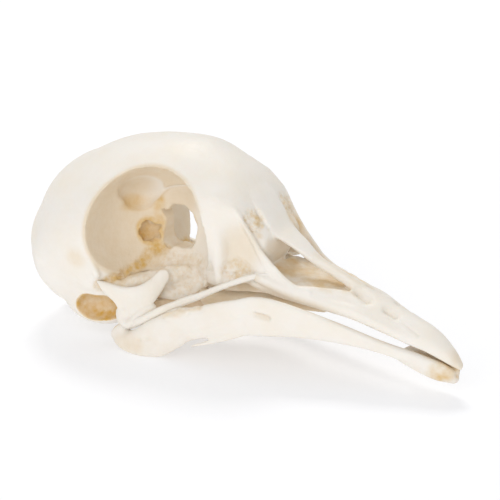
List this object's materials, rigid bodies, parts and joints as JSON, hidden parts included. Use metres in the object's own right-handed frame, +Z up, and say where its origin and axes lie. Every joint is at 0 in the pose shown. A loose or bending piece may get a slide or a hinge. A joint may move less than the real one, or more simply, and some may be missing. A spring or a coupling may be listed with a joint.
{
  "type": "pigeon skull",
  "caption": "Life-size pigeon skull with a domed braincase, round eye sockets, a long slender bill and its lower jaw slightly open.",
  "frame": {"origin": "middle of the bottom of the bounding box, on the surface that the skull lies on", "axes": "+X towards the tip of the bill, +Y towards the bird's left, +Z up"},
  "size_m": [0.0518, 0.0194, 0.0218],
  "materials": {
    "bone": "matte, clean dry bone, ivory white with ochre stains in the hollows"
  },
  "bodies": {
    "root": {"cranium": "bone", "upper_bill": "bone", "mandible": "bone", "quadrate_right": "bone", "quadrate_left": "bone", "jugal_bar_right": "bone", "jugal_bar_left": "bone", "palatine_right": "bone", "palatine_left": "bone", "pterygoid_right": "bone", "pterygoid_left": "bone"}
  },
  "joints": []
}
